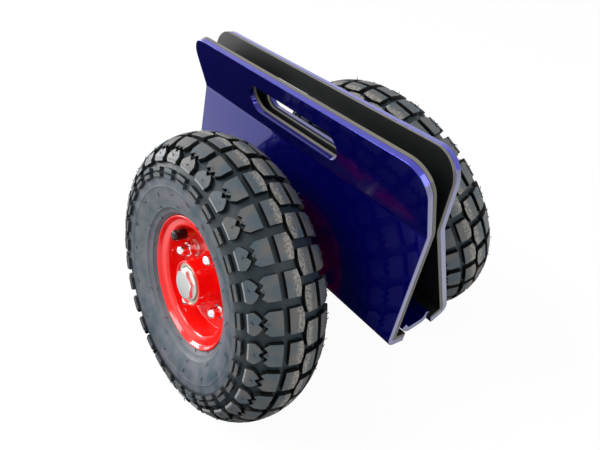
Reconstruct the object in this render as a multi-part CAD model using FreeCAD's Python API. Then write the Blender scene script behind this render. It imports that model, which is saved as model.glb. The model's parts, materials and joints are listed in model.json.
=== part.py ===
import FreeCAD, Part

import math
import os

# Self-locking panel dolly. Millimetres. +X is the way it rolls, +Y is across, +Z is up, and the origin
# is on the floor under the middle. The two jaws hang on one pivot under the tray and are the same weldment
# used twice. Each jaw is drawn in its own frame: x along the plates, y out along the axle from the pivot,
# z up the lower plate.

# Jaw plates, bent from sheet
PLATE_LENGTH = 305.0
PLATE_THICK = 4.8
LINING_THICK = 3.2
LOWER_HEIGHT = 102.0
FLARE_LENGTH = 55.5
FLARE_ANGLE = 24.7
FLANGE_REACH = 19.0
BEND_RADIUS = 3.0
THROAT_RADIUS = 10.0
TOP_CORNER_RADIUS = 22.0
SLOT_LENGTH = 120.0
SLOT_HEIGHT = 27.0
SLOT_RISE = 25.6
SLOT_RELIEF = 1.0

# Rest pose: the jaws lean together until their linings almost meet at the throat
JAW_TILT = 14.5
THROAT_GAP = 1.2

# Floor tray and its pivot
TRAY_LENGTH = 300.0
TRAY_THICK = 5.0
TRAY_DROP = 4.5
LIP_LENGTH = 9.0
LIP_ANGLE = 60.0
SEAT_GAP = 0.3
LUG_THICK = 8.0
LUG_RADIUS = 11.0
LUG_CLEARANCE = 1.5
PIVOT_DIA = 12.0
PIVOT_HEAD_FLATS = 18.0
PIVOT_HEAD_HEIGHT = 7.5
PIVOT_NUT_HEIGHT = 10.0
PIVOT_THREAD_PROUD = 2.0
PIVOT_WASHER_DIA = 24.0
PIVOT_WASHER_THICK = 2.5
KNUCKLE_RADIUS = 12.0
EAR_THICK = 5.0
SIDE_PLAY = 0.5
RUNNING_CLEARANCE = 0.08

# Square axle arm under each plate
ARM_WALL = 4.0
ARM_CORNER = 5.0
ARM_CLEARANCE = 2.0
ARM_OVERHANG = 20.0
BLOCK_LENGTH = 28.0
BLOCK_CHAMFER = 2.5
GUSSET_THICK = 6.0
GUSSET_HEIGHT = 26.0
GUSSET_TOE = 3.0

# Axle
AXLE_DIA = 16.0
AXLE_HEAD_FLATS = 24.0
AXLE_HEAD_HEIGHT = 4.5
AXLE_HEAD_PHASE = 30.0
AXLE_WASHER_MARGIN = 0.8
AXLE_WASHER_THICK = 1.5
SPACER_WALL = 2.6

# Tyre
TYRE_DIA = 260.0
TYRE_WIDTH = 82.0
TYRE_GAP = 22.0
CROWN_HEIGHT = 34.0
TREAD_THICK = 9.0
SIDEWALL_THICK = 5.0
BEAD_WIDTH = 8.6
TUBE_WALL = 2.0

# Tread blocks, in rows on both sides of the centre line; the inboard half is half a pitch further round
TREAD_PITCHES = 30
TREAD_PHASE = 2.5
GROOVE_DEPTH = 4.5
SHOULDER_GROOVE_DEPTH = 2.0
BLOCK_GAP = 6.8
CENTRE_GAP = 1.2
CENTRE_BLOCK_END = 11.8
CENTRE_CORNER_STEP = 3.5
MIDDLE_BLOCK_START = 15.8
MIDDLE_BLOCK_END = 29.3
MIDDLE_CORNER_STEP = 3.9
MIDDLE_NOTCH = 2.5
SHOULDER_BLOCK_START = 31.3
SHOULDER_CORNER_STEP = 5.5
SHOULDER_NOTCH = 3.0
SHOULDER_FACE = 41.0

# Pressed rim halves
RIM_THICK = 2.0
BEAD_SEAT_DIA = 101.6
FLANGE_HALF_WIDTH = 20.0
FLANGE_HEIGHT = 7.0
FLANGE_LEAN = 1.0
LIP_SPREAD = 4.5
LIP_HEIGHT = 2.5
HUB_HALF_LENGTH = 27.0
CUP_DEPTH = 15.0
HUB_FLARE = 3.5
HUB_BEND = 9.0
RIM_BEND = 3.0

# Wheel bearings
BEARING_WIDTH = 11.0
BEARING_RECESS = 1.7
RACE_THICK = 2.9
BALL_DIA = 4.5
BALL_COUNT = 9
BALL_PLAY = 0.1
SEAL_THICK = 0.8
SEAL_INSET = 0.5
SEAL_PLAY = 0.3
SLEEVE_WALL = 2.0

# Rim fasteners
RIM_BOLT_COUNT = 4
RIM_BOLT_PHASE = 22.6
BOLT_DIA = 8.0
BOLT_FLATS = 13.0
BOLT_HEAD_HEIGHT = 5.3
WASHER_DIA = 16.0
WASHER_THICK = 1.6
WASHER_ROOM = 0.5
LOCK_WASHER_DIA = 13.6
LOCK_WASHER_THICK = 2.0
NUT_HEIGHT = 6.5
DOME_DIA = 10.5
DOME_HEIGHT = 10.0
THREAD_ENGAGED = 2.5
BOLT_HOLE_PLAY = 0.3

# Valve
VALVE_ANGLE = 49.0
STEM_DIA = 7.5
STEM_CLEARANCE = 0.85
STEM_INNER_BEND = 1.0
STEM_HOLE_PLAY = 0.5
CAP_DIA = 9.6
CAP_LENGTH = 13.0
CAP_ROUND = 2.9
CAP_START = 17.0
CAP_DEPTH = 7.0
CAP_CLEARANCE = 0.5

# Small fits
FIT = 0.05
SEAT = 0.2

# Worked out from the sizes above
tilt = math.radians(JAW_TILT)
flare = math.radians(FLARE_ANGLE)
inner_ear = LUG_THICK / 2 + SIDE_PLAY
outer_ear = inner_ear + EAR_THICK + SIDE_PLAY
knuckle_end = outer_ear + EAR_THICK
arm_inner_corner = max(ARM_CORNER - ARM_WALL, FIT)
arm_size = 2 * (knuckle_end + arm_inner_corner + ARM_WALL)
arm_start = max(KNUCKLE_RADIUS, PIVOT_WASHER_DIA / 2) + ARM_CLEARANCE
flange_z = arm_size / 2
throat_z = flange_z + LOWER_HEIGHT
lug_half_width = arm_start * math.cos(tilt) - flange_z * math.sin(tilt) - LUG_CLEARANCE
wall = PLATE_THICK + LINING_THICK
throat_inner_z = throat_z + wall * math.tan(flare / 2)
plate_y = (THROAT_GAP / 2 + throat_inner_z * math.sin(tilt)) / math.cos(tilt) + wall
flange_tip_y = (plate_y - FLANGE_REACH) * math.cos(tilt) - (flange_z + wall) * math.sin(tilt)
flange_tip_z = (plate_y - FLANGE_REACH) * math.sin(tilt) + (flange_z + wall) * math.cos(tilt)
tray_rise = flange_tip_z - TRAY_DROP
arm_end = plate_y + ARM_OVERHANG
tyre_r = TYRE_DIA / 2
tyre_half = TYRE_WIDTH / 2
widest_r = tyre_r - CROWN_HEIGHT
tread_angle = 360.0 / TREAD_PITCHES
block_half = (2 * math.pi * tyre_r / TREAD_PITCHES - BLOCK_GAP) / 2
wheel_y = plate_y + TYRE_GAP + tyre_half
crown_drop = math.hypot(tyre_half * math.sin(tilt), CROWN_HEIGHT * math.cos(tilt))
wheel_height = widest_r * math.cos(tilt) + crown_drop
pivot_height = wheel_height - wheel_y * math.sin(tilt)
seat_r = BEAD_SEAT_DIA / 2
inner_race_r = AXLE_DIA / 2 + RACE_THICK
outer_race_r = inner_race_r + BALL_DIA + 2 * BALL_PLAY
cup_r = outer_race_r + RACE_THICK
bearing_face = HUB_HALF_LENGTH - BEARING_RECESS
bearing_back = bearing_face - BEARING_WIDTH
axle_washer_r = outer_race_r - AXLE_WASHER_MARGIN
head_face = bearing_face + AXLE_WASHER_THICK
rim_bolt_r = cup_r + HUB_FLARE + RIM_BEND + WASHER_ROOM + WASHER_DIA / 2
washer_face = RIM_THICK + WASHER_THICK
lock_face = washer_face + LOCK_WASHER_THICK
stem_offset = RIM_THICK + STEM_CLEARANCE + STEM_DIA / 2
stem_r = seat_r - RIM_THICK - CAP_CLEARANCE - CAP_DIA / 2
stem_end = CAP_START + CAP_DEPTH
bead_toe = FLANGE_HALF_WIDTH - SEAT - BEAD_WIDTH
cavity_foot = (bead_toe + SIDEWALL_THICK / 2, seat_r + SEAT + SIDEWALL_THICK)


def vec(x, y, z):
    return FreeCAD.Vector(x, y, z)


def turned(points):
    """Solid turned about the y axis from a closed outline of (radius, y) points."""
    outline = Part.makePolygon([vec(r, y, 0) for r, y in points + points[:1]])
    return Part.Face(outline).revolve(vec(0, 0, 0), vec(0, 1, 0), 360)


def turned_edges(edges):
    """Solid turned about the y axis from the edges of a closed outline."""
    outline = Part.Wire(Part.__sortEdges__(edges))
    return Part.Face(outline).revolve(vec(0, 0, 0), vec(0, 1, 0), 360)


def tube_y(outer_r, inner_r, y0, y1):
    """Ring or sleeve on the y axis."""
    return turned([(inner_r, y0), (outer_r, y0), (outer_r, y1), (inner_r, y1)])


def rod_x(radius, x0, x1):
    return Part.makeCylinder(radius, x1 - x0, vec(x0, 0, 0), vec(1, 0, 0))


def rod_y(radius, y0, y1, x=0.0, z=0.0):
    return Part.makeCylinder(radius, y1 - y0, vec(x, y0, z), vec(0, 1, 0))


def box(x0, x1, y0, y1, z0, z1):
    return Part.makeBox(x1 - x0, y1 - y0, z1 - z0, vec(x0, y0, z0))


def hex_prism(flats, start, direction, height, phase=0.0):
    """Hexagon with its chamfered corners, standing on start and reaching along direction."""
    corner = flats / 2 / math.cos(math.pi / 6)
    turns = [math.radians(phase + 60 * k) for k in range(7)]
    points = [vec(corner * math.cos(turn), corner * math.sin(turn), 0) for turn in turns]
    prism = Part.Face(Part.makePolygon(points)).extrude(vec(0, 0, height))
    slope = corner - flats / 2
    cone = Part.makeCone(flats / 2 + 4 * slope, flats / 2, 2 * slope, vec(0, 0, height - 2 * slope))
    low = Part.makeCylinder(flats, height - 2 * slope)
    prism = prism.common(low.fuse(cone))
    prism.Placement = FreeCAD.Placement(start, FreeCAD.Rotation(vec(0, 0, 1), direction))
    return prism


def offset_points(points, offset):
    """Corners of a path moved to its left by offset, with mitred corners."""
    moved = []
    last = len(points) - 1
    for k, (a, b) in enumerate(points):
        before = points[max(k - 1, 0)]
        after = points[min(k + 1, last)]
        if k == 0:
            before = (2 * a - after[0], 2 * b - after[1])
        if k == last:
            after = (2 * a - before[0], 2 * b - before[1])
        d0 = vec(a - before[0], b - before[1], 0).normalize()
        d1 = vec(after[0] - a, after[1] - b, 0).normalize()
        normal = vec(-d0.y - d1.y, d0.x + d1.x, 0).normalize()
        reach = offset / (normal.x * -d0.y + normal.y * d0.x)
        moved.append((a + normal.x * reach, b + normal.y * reach))
    return moved


def path_edges(points, radii, offset, place):
    """Edges of a bent path moved left by offset; radii are the path's own at its inner corners."""
    corners = [vec(a, b, 0) for a, b in offset_points(points, offset)]
    edges = []
    start = corners[0]
    for k in range(1, len(corners) - 1):
        d0 = (corners[k] - corners[k - 1]).normalize()
        d1 = (corners[k + 1] - corners[k]).normalize()
        turn = math.atan2(d0.x * d1.y - d0.y * d1.x, d0.dot(d1))
        radius = radii[k - 1] - offset * math.copysign(1, turn) if abs(turn) > 1e-9 else 0.0
        if radius <= 0.01:
            edges.append(Part.makeLine(place(start), place(corners[k])))
            start = corners[k]
            continue
        reach = radius * math.tan(abs(turn) / 2)
        p0 = corners[k] - d0 * reach
        p1 = corners[k] + d1 * reach
        inward = (d1 - d0).normalize()
        middle = corners[k] + inward * (radius / math.cos(turn / 2) - radius)
        edges.append(Part.makeLine(place(start), place(p0)))
        edges.append(Part.Arc(place(p0), place(middle), place(p1)).toShape())
        start = p1
    edges.append(Part.makeLine(place(start), place(corners[-1])))
    return edges


def strip_face(points, radii, near, far, place):
    """Face of bent sheet between two offsets of one path."""
    first = path_edges(points, radii, near, place)
    second = path_edges(points, radii, far, place)
    ends = []
    for k in (0, -1):
        a = offset_points(points, near)[k]
        b = offset_points(points, far)[k]
        ends.append(Part.makeLine(place(vec(a[0], a[1], 0)), place(vec(b[0], b[1], 0))))
    return Part.Face(Part.Wire(Part.__sortEdges__(first + second + ends)))


def jaw_path():
    """Outer face of the plate from the flange's tip to its top, as (y, z) in the jaw's frame."""
    return [
        (plate_y - FLANGE_REACH, flange_z),
        (plate_y, flange_z),
        (plate_y, throat_z),
        (plate_y + FLARE_LENGTH * math.sin(flare), throat_z + FLARE_LENGTH * math.cos(flare)),
    ]


def jaw_sheet(near, far):
    """Bent sheet of the jaw between two depths under its outer face, with its top corners rounded."""
    face = strip_face(
        jaw_path(),
        [BEND_RADIUS + PLATE_THICK, THROAT_RADIUS],
        near,
        far,
        lambda p: vec(-PLATE_LENGTH / 2, p.x, p.y),
    )
    sheet = face.extrude(vec(PLATE_LENGTH, 0, 0))
    up = vec(0, math.sin(flare), math.cos(flare))
    top = up.dot(vec(0, *jaw_path()[-1]))

    def at_top_corner(vertex):
        return abs(up.dot(vertex.Point) - top) < 0.01 and abs(abs(vertex.X) - PLATE_LENGTH / 2) < 0.01

    corners = [
        edge
        for edge in sheet.Edges
        if len(edge.Vertexes) == 2
        and edge.Length < PLATE_LENGTH / 2
        and all(at_top_corner(vertex) for vertex in edge.Vertexes)
    ]
    return sheet.makeFillet(min(TOP_CORNER_RADIUS, 0.49 * PLATE_LENGTH), corners)


def slot_cutter(relief):
    """Rounded slot through the flare, square to its faces."""
    half = (SLOT_LENGTH - SLOT_HEIGHT) / 2
    radius = SLOT_HEIGHT / 2 + relief
    depth = 6 * wall
    tool = box(-half, half, -depth, depth, -radius, radius)
    for x in (-half, half):
        tool = tool.fuse(rod_y(radius, -depth, depth, x=x))
    tool.rotate(vec(0, 0, 0), vec(1, 0, 0), -FLARE_ANGLE)
    tool.translate(vec(0, plate_y + SLOT_RISE * math.sin(flare), throat_z + SLOT_RISE * math.cos(flare)))
    return tool


def jaw_plate():
    return jaw_sheet(0, PLATE_THICK).cut(slot_cutter(0))


def jaw_lining():
    return jaw_sheet(PLATE_THICK, wall).cut(slot_cutter(SLOT_RELIEF))


def square_section(size, corner, y0, y1):
    half = size / 2
    block = box(-half, half, y0, y1, -half, half)
    edges = [e for e in block.Edges if abs(e.Length - (y1 - y0)) < 0.01 and abs(e.tangentAt(0).y) > 0.9]
    return block.makeFillet(corner, edges)


def axle_arm():
    outer = square_section(arm_size, ARM_CORNER, arm_start, arm_end)
    bore = arm_size - 2 * ARM_WALL
    inner = square_section(bore, arm_inner_corner, arm_start - ARM_WALL, arm_end + ARM_WALL)
    return outer.cut(inner)


def ear(x0):
    """Hinge ear: a knuckle round the pivot and a root that fills the height of the arm."""
    x1 = x0 + EAR_THICK
    half = arm_size / 2 - ARM_WALL
    root_end = arm_end - BLOCK_LENGTH
    plate = rod_x(KNUCKLE_RADIUS, x0, x1)
    plate = plate.fuse(box(x0, x1, 0, root_end, -KNUCKLE_RADIUS, KNUCKLE_RADIUS))
    plate = plate.fuse(box(x0, x1, arm_start + ARM_CLEARANCE, root_end, -half, half))
    return plate.cut(rod_x(PIVOT_DIA / 2 + RUNNING_CLEARANCE, x0 - 1, x1 + 1)).removeSplitter()


def hinge_ears():
    return [ear(inner_ear), ear(-knuckle_end)]


def axle_block():
    half = arm_size / 2 - ARM_WALL
    block = box(-half, half, arm_end - BLOCK_LENGTH, arm_end, -half, half)
    edges = [e for e in block.Edges if abs(e.Vertexes[0].Y - e.Vertexes[1].Y) > BLOCK_LENGTH / 2]
    block = block.makeChamfer(BLOCK_CHAMFER, edges)
    return block.cut(rod_y(AXLE_DIA / 2 + FIT, arm_end - BLOCK_LENGTH - 1, arm_end + 1))


def gusset():
    """Rib that carries the plate's foot onto the arm's overhang."""
    x = -GUSSET_THICK / 2
    y0 = plate_y
    y1 = arm_end - GUSSET_TOE
    z0 = flange_z
    points = [
        vec(x, y0, z0),
        vec(x, y1, z0),
        vec(x, y1, z0 + GUSSET_TOE),
        vec(x, y0 + GUSSET_TOE, z0 + GUSSET_HEIGHT),
        vec(x, y0, z0 + GUSSET_HEIGHT),
    ]
    return Part.Face(Part.makePolygon(points + points[:1])).extrude(vec(GUSSET_THICK, 0, 0))


def wheel_part(shape):
    """Moves a piece drawn about the wheel's middle plane to its place on the axle."""
    moved = shape.copy()
    moved.translate(vec(0, wheel_y, 0))
    return moved


def axle_bolt():
    shank_start = arm_end - BLOCK_LENGTH + ARM_WALL
    shank = rod_y(AXLE_DIA / 2, shank_start, wheel_y + head_face)
    head_foot = vec(0, wheel_y + head_face, 0)
    head = hex_prism(AXLE_HEAD_FLATS, head_foot, vec(0, 1, 0), AXLE_HEAD_HEIGHT, AXLE_HEAD_PHASE)
    return shank.fuse(head).removeSplitter()


def axle_washer():
    return wheel_part(tube_y(axle_washer_r, AXLE_DIA / 2 + FIT, bearing_face, head_face))


def axle_spacer():
    """Sleeve from the arm's block to the inboard bearing."""
    return tube_y(AXLE_DIA / 2 + SPACER_WALL, AXLE_DIA / 2 + FIT, arm_end, wheel_y - bearing_face)


def bearing_spacer():
    return wheel_part(tube_y(AXLE_DIA / 2 + SPACER_WALL, AXLE_DIA / 2 + FIT, -bearing_back, bearing_back))


def bearing_sides():
    """Low and high y of the two bearings, about the wheel's middle plane."""
    return [(-bearing_face, -bearing_back), (bearing_back, bearing_face)]


def bearing_inner_rings():
    return [wheel_part(tube_y(inner_race_r, AXLE_DIA / 2 + FIT, a, b)) for a, b in bearing_sides()]


def bearing_outer_rings():
    return [wheel_part(tube_y(cup_r - FIT, outer_race_r, a, b)) for a, b in bearing_sides()]


def bearing_balls():
    pitch = (inner_race_r + outer_race_r) / 2
    balls = []
    for a, b in bearing_sides():
        for k in range(BALL_COUNT):
            turn = 2 * math.pi * k / BALL_COUNT
            centre = vec(pitch * math.cos(turn), (a + b) / 2, pitch * math.sin(turn))
            balls.append(wheel_part(Part.makeSphere(BALL_DIA / 2, centre)))
    return balls


def bearing_seals():
    seals = []
    for a, b in bearing_sides():
        for y in (a + SEAL_INSET, b - SEAL_INSET - SEAL_THICK):
            seals.append(wheel_part(tube_y(outer_race_r, inner_race_r + SEAL_PLAY, y, y + SEAL_THICK)))
    return seals


def hub_sleeve():
    """Distance sleeve between the outer rings, inside the cups of the rim halves."""
    outer = cup_r - FIT
    return wheel_part(tube_y(outer, outer - SLEEVE_WALL, -bearing_back, bearing_back))


def rim_path():
    """Middle of the outboard half's sheet, from the cup's mouth to the flange's lip, as (y, radius)."""
    half = RIM_THICK / 2
    wall_y = FLANGE_HALF_WIDTH + half
    return [
        (HUB_HALF_LENGTH, cup_r + half),
        (HUB_HALF_LENGTH - CUP_DEPTH, cup_r + half),
        (half, cup_r + half + HUB_FLARE),
        (half, seat_r - half),
        (wall_y, seat_r - half),
        (wall_y + FLANGE_LEAN, seat_r + FLANGE_HEIGHT),
        (wall_y + FLANGE_LEAN + LIP_SPREAD, seat_r + FLANGE_HEIGHT + LIP_HEIGHT),
    ]


def rim_blank():
    """Outboard half about the wheel's middle plane, with no holes."""
    radii = [HUB_BEND, RIM_BEND, RIM_BEND, RIM_BEND, RIM_BEND]
    half = RIM_THICK / 2
    face = strip_face(rim_path(), radii, -half, half, lambda p: vec(p.y, p.x, 0))
    return face.revolve(vec(0, 0, 0), vec(0, 1, 0), 360)


def bolt_places():
    places = []
    for k in range(RIM_BOLT_COUNT):
        turn = math.radians(RIM_BOLT_PHASE + 360.0 * k / RIM_BOLT_COUNT)
        places.append((rim_bolt_r * math.cos(turn), rim_bolt_r * math.sin(turn)))
    return places


def drilled(half_rim):
    for x, z in bolt_places():
        half_rim = half_rim.cut(rod_y(BOLT_DIA / 2 + BOLT_HOLE_PLAY, -2 * RIM_THICK, 2 * RIM_THICK, x, z))
    return half_rim


def turned_to_valve(shape):
    shape.rotate(vec(0, 0, 0), vec(0, 1, 0), -VALVE_ANGLE)
    return shape


def rim_outer():
    hole_r = STEM_DIA / 2 + STEM_HOLE_PLAY
    hole = Part.makeCylinder(hole_r, seat_r + RIM_THICK - stem_r, vec(stem_r, stem_offset, 0), vec(1, 0, 0))
    return wheel_part(drilled(rim_blank()).cut(turned_to_valve(hole)))


def rim_inner():
    half = rim_blank().mirror(vec(0, 0, 0), vec(0, 1, 0))
    return wheel_part(drilled(half))


def rim_bolts():
    bolts = []
    end = lock_face + NUT_HEIGHT + THREAD_ENGAGED
    for x, z in bolt_places():
        shank = rod_y(BOLT_DIA / 2, -washer_face, end, x, z)
        head = hex_prism(BOLT_FLATS, vec(x, -washer_face, z), vec(0, -1, 0), BOLT_HEAD_HEIGHT)
        bolts.append(wheel_part(shank.fuse(head).removeSplitter()))
    return bolts


def washer_at(x, z, diameter, y0, y1):
    ring = rod_y(diameter / 2, y0, y1, x, z)
    return wheel_part(ring.cut(rod_y(BOLT_DIA / 2 + FIT, y0 - 1, y1 + 1, x, z)))


def rim_washers():
    washers = []
    for x, z in bolt_places():
        washers.append(washer_at(x, z, WASHER_DIA, RIM_THICK, washer_face))
        washers.append(washer_at(x, z, WASHER_DIA, -washer_face, -RIM_THICK))
    return washers


def rim_lock_washers():
    return [washer_at(x, z, LOCK_WASHER_DIA, washer_face, lock_face) for x, z in bolt_places()]


def rim_nuts():
    """Domed cap nuts on the outboard ends of the rim bolts."""
    nuts = []
    top = lock_face + NUT_HEIGHT
    ball_y = top + DOME_HEIGHT - DOME_DIA / 2
    for x, z in bolt_places():
        nut = hex_prism(BOLT_FLATS, vec(x, lock_face, z), vec(0, 1, 0), NUT_HEIGHT)
        nut = nut.fuse(rod_y(DOME_DIA / 2, top - 1, ball_y, x, z))
        nut = nut.fuse(Part.makeSphere(DOME_DIA / 2, vec(x, ball_y, z)))
        nut = nut.cut(rod_y(BOLT_DIA / 2 + FIT, lock_face - 1, top + THREAD_ENGAGED + FIT, x, z))
        nuts.append(wheel_part(nut.removeSplitter()))
    return nuts


def oval_edges(inset_side, inset_crown, foot):
    """Outline of a tyre section down to foot, a (y, radius) point: half an oval and two lower arcs."""
    half = tyre_half - inset_side
    rise = CROWN_HEIGHT - inset_crown
    centre = vec(widest_r, 0, 0)
    side = vec(widest_r, half, 0)
    top = vec(widest_r + rise, 0, 0)
    if half >= rise:
        crown = Part.ArcOfEllipse(Part.Ellipse(side, top, centre), 0, math.pi)
    else:
        crown = Part.ArcOfEllipse(Part.Ellipse(top, side, centre), -math.pi / 2, math.pi / 2)
    edges = [crown.toShape()]
    drop = widest_r - foot[1]
    inset = half - foot[0]
    low = (drop ** 2 + inset ** 2) / (2 * inset)
    sweep = math.atan2(drop, low - inset)
    middle = (half - low + low * math.cos(sweep / 2), widest_r - low * math.sin(sweep / 2))
    for s in (1, -1):
        points = [vec(r, s * y, 0) for y, r in ((half, widest_r), middle, foot)]
        edges.append(Part.Arc(*points).toShape())
    return edges


def both_sides(points):
    """Straight edges through (y, radius) points on the +y side and their mirror images."""
    edges = []
    for s in (1, -1):
        for a, b in zip(points, points[1:]):
            edges.append(Part.makeLine(vec(a[1], s * a[0], 0), vec(b[1], s * b[0], 0)))
    return edges


def skin_point(distance):
    """Point of the tyre's outline at a distance from the centre line towards +y, and its outward normal."""
    crown = oval_edges(0, 0, cavity_foot)[0]
    step = distance if crown.valueAt(crown.LastParameter).y > 0 else -distance
    place = crown.getParameterByLength(crown.Length / 2 + step)
    run = crown.tangentAt(place)
    normal = vec(run.y, -run.x, 0)
    point = crown.valueAt(place)
    return point, normal if normal.dot(point) > 0 else normal * -1


def tread_block(outline, middle):
    """Prism over an outline of (x, distance) points, square to the tyre's skin at the middle distance."""
    base, normal = skin_point(middle)
    reach = 5 * GROOVE_DEPTH
    points = []
    for x, distance in outline:
        point = skin_point(distance)[0]
        turn = x / tyre_r
        point = vec(point.x * math.cos(turn), point.y, point.x * math.sin(turn))
        points.append(point - normal * ((point - base).dot(normal) + reach))
    return Part.Face(Part.makePolygon(points + points[:1])).extrude(normal * (2 * reach))


def mirrored(half_outline):
    """Closed outline from the points of its +x half, given from one side to the other."""
    return half_outline + [(-x, distance) for x, distance in half_outline[::-1] if x > 0]


def tread_blocks():
    """The three blocks of one pitch on the +y side: centre, middle and shoulder."""
    third = block_half / 3
    centre = [
        (third, CENTRE_GAP / 2),
        (block_half, CENTRE_GAP / 2 + CENTRE_CORNER_STEP),
        (block_half, CENTRE_BLOCK_END),
    ]
    middle = [
        (block_half, MIDDLE_BLOCK_START),
        (block_half, MIDDLE_BLOCK_END - MIDDLE_CORNER_STEP),
        (2 * third, MIDDLE_BLOCK_END),
        (third, MIDDLE_BLOCK_END - MIDDLE_NOTCH),
        (0, MIDDLE_BLOCK_END),
    ]
    shoulder = [
        (0, SHOULDER_BLOCK_START + SHOULDER_NOTCH),
        (third, SHOULDER_BLOCK_START),
        (block_half, SHOULDER_BLOCK_START + SHOULDER_CORNER_STEP),
        (block_half, oval_edges(0, 0, cavity_foot)[0].Length / 2),
    ]
    return [
        tread_block(mirrored(centre), CENTRE_BLOCK_END / 2),
        tread_block(mirrored(middle), (MIDDLE_BLOCK_START + MIDDLE_BLOCK_END) / 2),
        tread_block(mirrored(shoulder), SHOULDER_FACE),
    ]


def tread_grooves():
    """What the mould takes away between the blocks of one pitch on the +y side."""
    margin = GROOVE_DEPTH / 4
    centre = vec(widest_r, 0, 0)
    arcs = []
    ends = []
    for across, up in ((margin, margin), (-SHOULDER_GROOVE_DEPTH, -GROOVE_DEPTH)):
        side = vec(widest_r, tyre_half + across, 0)
        top = vec(tyre_r + up, 0, 0)
        if tyre_half + across >= CROWN_HEIGHT + up:
            arc = Part.ArcOfEllipse(Part.Ellipse(side, top, centre), 0, math.pi / 2)
        else:
            arc = Part.ArcOfEllipse(Part.Ellipse(top, side, centre), 0, math.pi / 2)
        arcs.append(arc.toShape())
        ends.append((side, top))
    edges = arcs + [Part.makeLine(a, b) for a, b in zip(*ends)]
    layer = Part.Face(Part.Wire(Part.__sortEdges__(edges)))
    overlap = tread_angle / 20
    layer.rotate(vec(0, 0, 0), vec(0, 1, 0), -tread_angle / 2 - overlap)
    grooves = layer.revolve(vec(0, 0, 0), vec(0, 1, 0), tread_angle + 2 * overlap)
    return grooves.cut(tread_blocks())


def tyre_section():
    """Face of the tyre's section, its tread not yet cut."""
    heel, flange_edge, foot = offset_points(rim_path(), RIM_THICK / 2 + SEAT)[-3:]
    seat = heel[1]
    outer = oval_edges(0, 0, foot)
    inner = oval_edges(SIDEWALL_THICK, TREAD_THICK, cavity_foot)
    bead = [
        foot,
        flange_edge,
        (heel[0], seat + RIM_BEND),
        (heel[0] - RIM_BEND, seat),
        (bead_toe, seat),
        cavity_foot,
    ]
    return Part.Face(Part.Wire(Part.__sortEdges__(outer + inner + both_sides(bead))))


def tyre():
    """One pitch of the tyre is cut, and its skin is repeated all round and sewn up."""
    axle = (vec(0, 0, 0), vec(0, 1, 0))
    half = tread_angle / 2
    section = tyre_section()
    section.rotate(*axle, -half)
    pitch = section.revolve(*axle, tread_angle)
    outboard = tread_grooves()
    tools = [outboard]
    for turn in (-half, half):
        inboard = outboard.mirror(*axle)
        inboard.rotate(*axle, turn)
        tools.append(inboard)
    pitch = pitch.cut(tools)
    cut_planes = [vec(math.sin(math.radians(s * half)), 0, math.cos(math.radians(half))) for s in (-1, 1)]
    skin = [
        face
        for face in pitch.Faces
        if not any(all(abs(plane.dot(v.Point)) < 0.001 for v in face.Vertexes) for plane in cut_planes)
    ]
    faces = []
    for k in range(TREAD_PITCHES):
        for face in skin:
            copy = face.copy()
            copy.rotate(*axle, k * tread_angle - TREAD_PHASE)
            faces.append(copy)
    sewn = Part.makeCompound(faces)
    sewn.sewShape()
    return wheel_part(Part.Solid(sewn.Shells[0]))


def tube_section(inset):
    """Solid of the inner tube's outline, moved inwards by inset."""
    gap = SEAT + inset
    shoulder = (cavity_foot[0] - gap, cavity_foot[1] + gap)
    foot = (bead_toe - gap, seat_r + SEAT + gap)
    edges = oval_edges(SIDEWALL_THICK + gap, TREAD_THICK + gap, shoulder)
    edges += both_sides([shoulder, foot])
    edges.append(Part.makeLine(vec(foot[1], foot[0], 0), vec(foot[1], -foot[0], 0)))
    return turned_edges(edges)


def inner_tube():
    return wheel_part(tube_section(0).cut(tube_section(TUBE_WALL)))


def valve_stem():
    """Bent metal stem: out of the rim towards the hub, then a quarter turn to the outboard side."""
    radius = STEM_DIA / 2
    bend = radius + STEM_INNER_BEND
    reach = bend + radius
    start = stem_r + bend
    turn_y = stem_offset + bend
    root = math.sqrt((seat_r + 2 * SEAT) ** 2 - radius ** 2) - FIT
    stem = Part.makeCylinder(radius, root - start, vec(start, stem_offset, 0), vec(1, 0, 0))
    ring = Part.makeTorus(bend, radius, vec(start, turn_y, 0), vec(0, 0, 1))
    corner = box(start - reach, start, turn_y - reach, turn_y, -reach, reach)
    stem = stem.fuse(ring.common(corner))
    stem = stem.fuse(rod_y(radius, turn_y, stem_end, x=stem_r))
    return wheel_part(turned_to_valve(stem.removeSplitter()))


def valve_cap():
    radius = CAP_DIA / 2
    end = CAP_START + CAP_LENGTH
    cap = rod_y(radius, CAP_START, end, x=stem_r)
    rounded = [e for e in cap.Edges if all(abs(v.Y - end) < 0.01 for v in e.Vertexes)]
    cap = cap.makeFillet(CAP_ROUND, rounded)
    cap = cap.cut(rod_y(STEM_DIA / 2 + FIT, CAP_START - 1, stem_end + FIT, x=stem_r))
    return wheel_part(turned_to_valve(cap))


def tray_path():
    """Underside of the tray, as (y, z) from the pivot; its lips rest on the linings' lower edges."""
    angle = math.radians(LIP_ANGLE)
    half = flange_tip_y - TRAY_DROP / math.tan(angle) - SEAT_GAP / math.sin(angle)
    end = (half + LIP_LENGTH * math.cos(angle), tray_rise + LIP_LENGTH * math.sin(angle))
    return [(-end[0], end[1]), (-half, tray_rise), (half, tray_rise), end]


def floor_tray():
    radii = [BEND_RADIUS + TRAY_THICK] * 2
    face = strip_face(tray_path(), radii, 0, TRAY_THICK, lambda p: vec(-TRAY_LENGTH / 2, p.x, p.y))
    return face.extrude(vec(TRAY_LENGTH, 0, 0))


def floor_lug():
    half = LUG_THICK / 2
    lug = rod_x(LUG_RADIUS, -half, half)
    lug = lug.fuse(box(-half, half, -lug_half_width, lug_half_width, 0, tray_rise))
    return lug.cut(rod_x(PIVOT_DIA / 2 + RUNNING_CLEARANCE, -half - 1, half + 1)).removeSplitter()


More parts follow.
